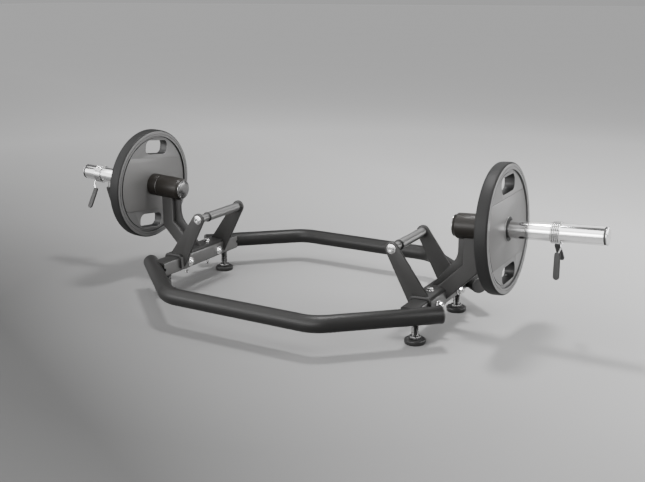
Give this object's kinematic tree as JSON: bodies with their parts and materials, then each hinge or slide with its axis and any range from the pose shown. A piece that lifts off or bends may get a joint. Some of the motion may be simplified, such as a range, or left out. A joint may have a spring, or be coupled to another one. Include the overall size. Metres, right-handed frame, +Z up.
{
  "type": "deadlift bar",
  "caption": "Raised hexagonal deadlift bar of bent pipe, with upright handles, levelling feet, turning load sleeves, slotted weight plates and spring collars.",
  "frame": {"origin": "on the floor under the middle of the bar", "axes": "+X along the bar to the lifter's right, +Y to the rear, +Z up"},
  "size_m": [1.7924, 0.8144, 0.4949],
  "materials": {
    "powder_coat": "satin black powder coat",
    "grip_steel": "satin bare steel",
    "chrome": "polished",
    "zinc_bolts": "bright zinc",
    "bearing_bronze": "turned",
    "spindle_steel": "turned",
    "dark_polished_cap": "dark polish",
    "plate_coat": "grey stove enamel on cast iron",
    "lever_grip": "moulded grip on a wire",
    "foot_rubber": "moulded",
    "pipe_plug": "moulded"
  },
  "bodies": {
    "frame": {"front_rail": "powder_coat", "rail_cap_front_left": "pipe_plug", "rail_cap_front_right": "pipe_plug", "rear_rail": "powder_coat", "rail_cap_rear_left": "pipe_plug", "rail_cap_rear_right": "pipe_plug", "crossmember_left": "powder_coat", "saddle_left": "powder_coat", "sleeve_arm_left": "powder_coat", "arm_gusset_left": "powder_coat", "barrel_left": "powder_coat", "handle_grip_left": "grip_steel", "handle_bolt_left": "zinc_bolts", "barrel_cap_left": "dark_polished_cap", "bearing_bush_left": "bearing_bronze", "handle_arm_front_left": "powder_coat", "saddle_bolt_front_left": "zinc_bolts", "handle_arm_rear_left": "powder_coat", "saddle_bolt_rear_left": "zinc_bolts", "crossmember_right": "powder_coat", "saddle_right": "powder_coat", "sleeve_arm_right": "powder_coat", "arm_gusset_right": "powder_coat", "barrel_right": "powder_coat", "handle_grip_right": "grip_steel", "handle_bolt_right": "zinc_bolts", "barrel_cap_right": "dark_polished_cap", "bearing_bush_right": "bearing_bronze", "handle_arm_front_right": "powder_coat", "saddle_bolt_front_right": "zinc_bolts", "handle_arm_rear_right": "powder_coat", "saddle_bolt_rear_right": "zinc_bolts"},
    "foot_front_left": {"foot_pad_front_left": "foot_rubber", "foot_stud_front_left": "spindle_steel"},
    "foot_rear_left": {"foot_pad_rear_left": "foot_rubber", "foot_stud_rear_left": "spindle_steel"},
    "sleeve_left": {"spindle_left": "spindle_steel", "spindle_nut_left": "spindle_steel", "sleeve_left": "chrome", "stop_collar_left": "powder_coat", "sleeve_cap_left": "chrome"},
    "plate_left": {"weight_plate_left": "plate_coat", "plate_hub_left": "spindle_steel"},
    "collar_left": {"collar_spring_left": "chrome"},
    "lever_front_left": {"collar_lever_front_left": "lever_grip"},
    "lever_rear_left": {"collar_lever_rear_left": "lever_grip"},
    "foot_front_right": {"foot_pad_front_right": "foot_rubber", "foot_stud_front_right": "spindle_steel"},
    "foot_rear_right": {"foot_pad_rear_right": "foot_rubber", "foot_stud_rear_right": "spindle_steel"},
    "sleeve_right": {"spindle_right": "spindle_steel", "spindle_nut_right": "spindle_steel", "sleeve_right": "chrome", "stop_collar_right": "powder_coat", "sleeve_cap_right": "chrome"},
    "plate_right": {"weight_plate_right": "plate_coat", "plate_hub_right": "spindle_steel"},
    "collar_right": {"collar_spring_right": "chrome"},
    "lever_front_right": {"collar_lever_front_right": "lever_grip"},
    "lever_rear_right": {"collar_lever_rear_right": "lever_grip"}
  },
  "joints": [
    {"name": "sleeve_spin_left", "type": "hinge", "parent": "frame", "child": "sleeve_left", "pos_m": [-0.4775, 0, 0.3061], "axis": [-0.9985, 0, 0.0546], "continuous": true},
    {"name": "plate_slide_left", "type": "slide", "parent": "sleeve_left", "child": "plate_left", "axis": [-0.9985, 0, 0.0546], "range_m": [0, 0.178]},
    {"name": "collar_slide_left", "type": "slide", "parent": "sleeve_left", "child": "collar_left", "axis": [-0.9985, 0, 0.0546], "range_m": [-0.178, 0.042]},
    {"name": "lever_squeeze_front_left", "type": "hinge", "parent": "collar_left", "child": "lever_front_left", "pos_m": [-0.4775, 0, 0.3061], "axis": [0.9985, 0, -0.0546], "range_deg": [0, 18], "stiffness_Nm_per_rad": 4, "springref_deg": -5.73, "deforming": ["collar_spring_left"]},
    {"name": "lever_squeeze_rear_left", "type": "hinge", "parent": "collar_left", "child": "lever_rear_left", "pos_m": [-0.4775, 0, 0.3061], "axis": [-0.9985, 0, 0.0546], "range_deg": [0, 18], "stiffness_Nm_per_rad": 4, "springref_deg": -5.73, "deforming": ["collar_spring_left"]},
    {"name": "foot_screw_front_left", "type": "slide", "parent": "frame", "child": "foot_front_left", "axis": [0, 0, -1], "range_m": [0, 0.02]},
    {"name": "foot_screw_rear_left", "type": "slide", "parent": "frame", "child": "foot_rear_left", "axis": [0, 0, -1], "range_m": [0, 0.02]},
    {"name": "sleeve_spin_right", "type": "hinge", "parent": "frame", "child": "sleeve_right", "pos_m": [0.4775, 0, 0.3061], "axis": [0.9985, 0, 0.0546], "continuous": true},
    {"name": "plate_slide_right", "type": "slide", "parent": "sleeve_right", "child": "plate_right", "axis": [0.9985, 0, 0.0546], "range_m": [0, 0.11]},
    {"name": "collar_slide_right", "type": "slide", "parent": "sleeve_right", "child": "collar_right", "axis": [0.9985, 0, 0.0546], "range_m": [-0.11, 0.11]},
    {"name": "lever_squeeze_front_right", "type": "hinge", "parent": "collar_right", "child": "lever_front_right", "pos_m": [0.4775, 0, 0.3061], "axis": [0.9985, 0, 0.0546], "range_deg": [0, 18], "stiffness_Nm_per_rad": 4, "springref_deg": -5.73, "deforming": ["collar_spring_right"]},
    {"name": "lever_squeeze_rear_right", "type": "hinge", "parent": "collar_right", "child": "lever_rear_right", "pos_m": [0.4775, 0, 0.3061], "axis": [-0.9985, 0, -0.0546], "range_deg": [0, 18], "stiffness_Nm_per_rad": 4, "springref_deg": -5.73, "deforming": ["collar_spring_right"]},
    {"name": "foot_screw_front_right", "type": "slide", "parent": "frame", "child": "foot_front_right", "axis": [0, 0, -1], "range_m": [0, 0.02]},
    {"name": "foot_screw_rear_right", "type": "slide", "parent": "frame", "child": "foot_rear_right", "axis": [0, 0, -1], "range_m": [0, 0.02]}
  ],
  "couplings": [
    {"joint": "lever_squeeze_rear_left", "follows": "lever_squeeze_front_left", "ratio": 1},
    {"joint": "lever_squeeze_rear_right", "follows": "lever_squeeze_front_right", "ratio": 1}
  ]
}
